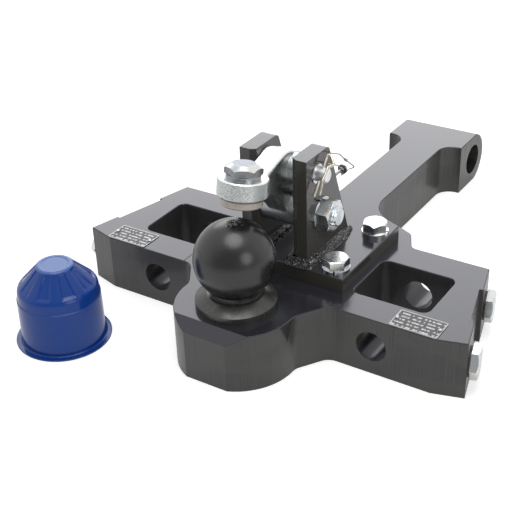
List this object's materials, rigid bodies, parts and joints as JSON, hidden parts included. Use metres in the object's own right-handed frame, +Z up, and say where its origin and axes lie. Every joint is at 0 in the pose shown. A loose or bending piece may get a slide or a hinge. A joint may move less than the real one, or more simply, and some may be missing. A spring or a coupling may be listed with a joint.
{
  "type": "tractor ball hitch",
  "caption": "Towing ball on a cut steel hitch body with windowed ears and a cross eye at the tail, a swinging hold-down over the ball with side lock pin and spring clip, and a loose ball cap",
  "frame": {"origin": "on the ball's vertical axis, in the plane of the body's underside", "axes": "+X to the ear that carries the lock pin's clip, +Y rearwards to the tail eye, +Z up"},
  "size_m": [0.4636, 0.6134, 0.2042],
  "materials": {
    "painted_steel": "semi-gloss graphite paint over flame-cut steel",
    "painted_weld": "graphite paint over a rippled weld bead",
    "ball_black": "satin black phosphated steel",
    "zinc": "bright bluish zinc plating",
    "cast_zinc": "zinc-plated casting with a fine grain",
    "bright_steel": "bright turned steel",
    "bronze": "pale bearing bronze",
    "yellow_zinc": "yellow passivated spring wire",
    "dark_washer": "dark oiled steel",
    "bare_aluminium": "satin bare aluminium",
    "cap_blue": "glossy blue moulded plastic"
  },
  "bodies": {
    "frame": {"hitch_body": "painted_steel", "tow_ball": "ball_black", "bracket_plate": "painted_steel", "upright_left": "painted_steel", "upright_right": "painted_steel", "weld_left": "painted_weld", "weld_right": "painted_weld", "plate_bolts": "zinc", "plate_bolt_washers": "zinc", "pivot_bolt": "zinc", "pivot_washer": "zinc", "pivot_nut": "zinc", "lock_pin_guide_ring": "zinc", "lanyard_screw": "yellow_zinc", "keeper_loop": "zinc", "end_bolts_left": "zinc", "end_bolts_right": "zinc", "end_washers_left": "dark_washer", "end_washers_right": "dark_washer", "rating_plate_left": "bare_aluminium", "rating_plate_right": "bare_aluminium", "rating_plate_rivets": "bare_aluminium"},
    "hold_down": {"hold_down_arm": "cast_zinc", "pivot_bush": "bronze", "hold_down_bolt": "zinc", "hold_down_washer": "zinc", "hold_down_pad": "bronze"},
    "side_pin": {"lock_pin": "bright_steel"},
    "clip": {"spring_clip": "yellow_zinc"},
    "cap": {"ball_cap": "cap_blue"}
  },
  "joints": [
    {"name": "hold_down_swing", "type": "hinge", "parent": "frame", "child": "hold_down", "pos_m": [0, 0.0975, 0.126], "axis": [-1, 0, 0], "range_deg": [0, 100]},
    {"name": "lock_pin_slide", "type": "slide", "parent": "frame", "child": "side_pin", "axis": [1, 0, 0], "range_m": [-0.002, 0.045]},
    {"name": "clip_pull", "type": "slide", "parent": "side_pin", "child": "clip", "axis": [0, 0.6157, 0.788], "range_m": [0, 0.05]},
    {"name": "cap_lift", "type": "slide", "parent": "frame", "child": "cap", "axis": [0, 0, 1], "range_m": [0, 0.12]}
  ]
}
